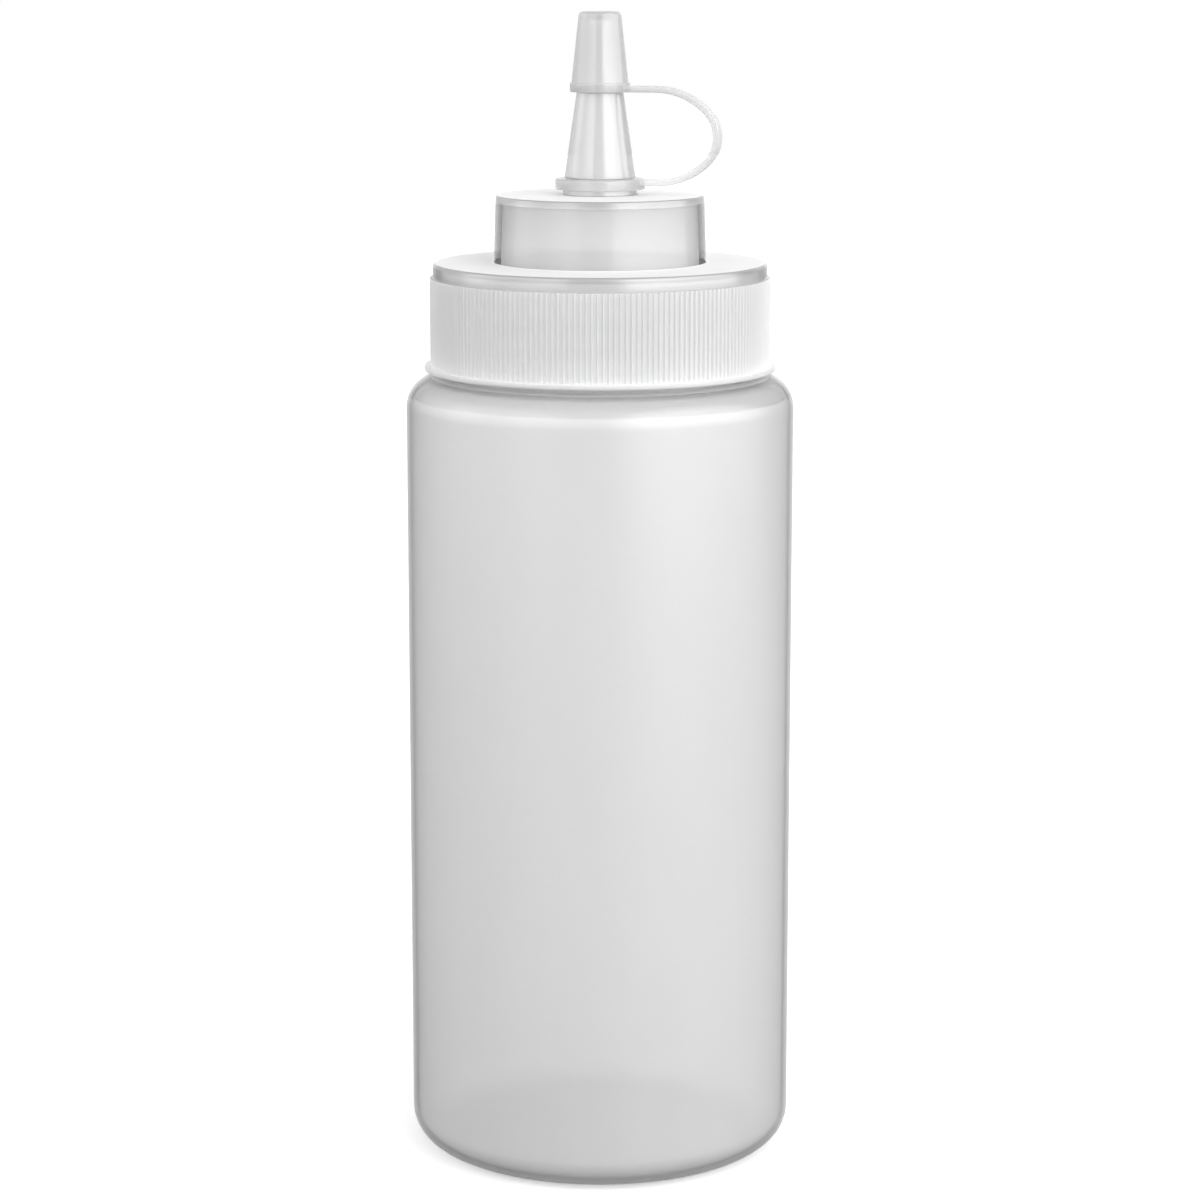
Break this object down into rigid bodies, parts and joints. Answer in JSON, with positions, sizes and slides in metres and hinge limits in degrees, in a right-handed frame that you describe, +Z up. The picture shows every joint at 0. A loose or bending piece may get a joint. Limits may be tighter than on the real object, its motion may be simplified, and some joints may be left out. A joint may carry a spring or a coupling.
{
  "type": "squeeze bottle",
  "caption": "Wide-mouth squeeze bottle for sauce: blown barrel, ribbed screw lid with a stepped turret, tapered nozzle and a tip cap on a looped strap.",
  "frame": {"origin": "centre of the base, on the bottle's axis, at the surface it stands on", "axes": "+Z up along the bottle's axis, +X towards the loop of the strap"},
  "size_m": [0.07, 0.07, 0.2078],
  "materials": {
    "barrel_polyethylene": "natural milky polyethylene, satin",
    "lid_polyethylene": "natural translucent polyethylene, moulded satin",
    "cap_polyethylene": "natural translucent polyethylene, moulded satin",
    "seal_foam": "white foamed polyethylene"
  },
  "bodies": {
    "bottle": {"bottle_body": "barrel_polyethylene"},
    "seal": {"rim_seal": "seal_foam"},
    "lid": {"screw_lid": "lid_polyethylene"},
    "tether": {"tether_ring": "cap_polyethylene", "tether_strap": "cap_polyethylene"},
    "cap": {"tip_cap": "cap_polyethylene"}
  },
  "joints": [
    {"name": "lid_lift", "type": "slide", "parent": "bottle", "child": "seal", "axis": [0, 0, 1], "range_m": [0, 0.021]},
    {"name": "lid_turn", "type": "hinge", "parent": "seal", "child": "lid", "pos_m": [0, 0, 0.162], "axis": [0, 0, 1], "range_deg": [0, 1800]},
    {"name": "ring_swivel", "type": "hinge", "parent": "lid", "child": "tether", "pos_m": [0, 0, 0.1774], "axis": [0, 0, 1], "continuous": true},
    {"name": "cap_pull", "type": "slide", "parent": "tether", "child": "cap", "axis": [0, 0, 1], "range_m": [0, 0.014], "deforming": ["tether_strap"]}
  ],
  "couplings": [
    {"joint": "lid_lift", "follows": "lid_turn", "m_per_rad": 0.00066845}
  ]
}
